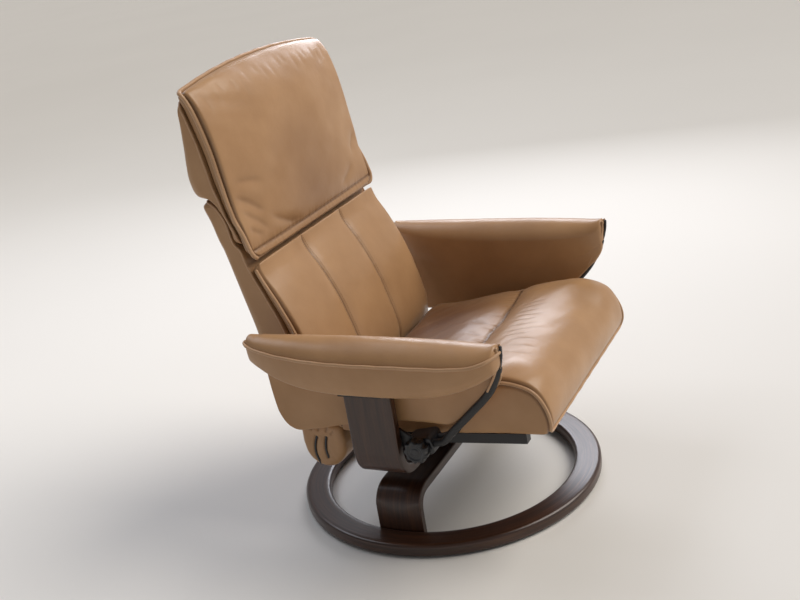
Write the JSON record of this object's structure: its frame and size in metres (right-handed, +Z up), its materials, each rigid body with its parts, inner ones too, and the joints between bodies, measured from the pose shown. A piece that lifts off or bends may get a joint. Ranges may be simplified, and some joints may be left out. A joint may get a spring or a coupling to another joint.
{
  "type": "swivel reclining armchair",
  "caption": "Leather swivel recliner: a bent-wood foot and arm frame, padded armrests, and a seat that glides forward as its back leans, with a tilting headrest.",
  "frame": {"origin": "on the floor at the swivel axis, the middle of the round foot", "axes": "+Z up, the chair faces -Y, +X is the sitter's left"},
  "size_m": [0.814, 0.7333, 1.0208],
  "materials": {
    "leather": "soft semi-gloss, tan",
    "wood": "satin lacquer, reddish brown",
    "steel": "black powder coat",
    "plastic": "black, slightly glossy"
  },
  "bodies": {
    "foot": {"base_ring": "wood", "floor_glide_1": "plastic", "floor_glide_2": "plastic", "floor_glide_3": "plastic", "floor_glide_4": "plastic", "floor_glide_5": "plastic", "floor_glide_6": "plastic", "base_arch": "wood", "swivel_post": "steel"},
    "arms": {"swivel_collar": "steel", "arm_beam": "wood", "armrest_left": "leather", "armrest_right": "leather", "arm_plate_left": "steel", "arm_plate_right": "steel", "arm_panel_left": "leather", "arm_panel_right": "leather", "arm_stay_left": "steel", "arm_stay_right": "steel", "clamp_left": "plastic", "clamp_right": "plastic", "knob_left": "plastic", "knob_right": "plastic"},
    "seat": {"seat_frame": "steel", "seat_cushion": "leather", "side_rod_left": "steel", "side_rod_right": "steel"},
    "back": {"back_cushion": "leather", "back_shell": "leather", "back_lobe_left": "leather", "back_lobe_right": "leather", "headrest_axle": "steel"},
    "headrest": {"headrest_cushion": "leather", "headrest_shell": "leather"}
  },
  "joints": [
    {"name": "swivel", "type": "hinge", "parent": "foot", "child": "arms", "pos_m": [0, 0, 0.16], "axis": [0, 0, 1], "continuous": true},
    {"name": "seat_glide", "type": "slide", "parent": "arms", "child": "seat", "axis": [0, -0.9763, 0.2164], "range_m": [0, 0.055]},
    {"name": "recline", "type": "hinge", "parent": "seat", "child": "back", "pos_m": [0, 0.165, 0.206], "axis": [-1, 0, 0], "range_deg": [0, 22]},
    {"name": "headrest_tilt", "type": "hinge", "parent": "back", "child": "headrest", "pos_m": [0, 0.268, 0.668], "axis": [1, 0, 0], "range_deg": [0, 18]}
  ],
  "couplings": [
    {"joint": "seat_glide", "follows": "recline", "m_per_rad": 0.14}
  ]
}
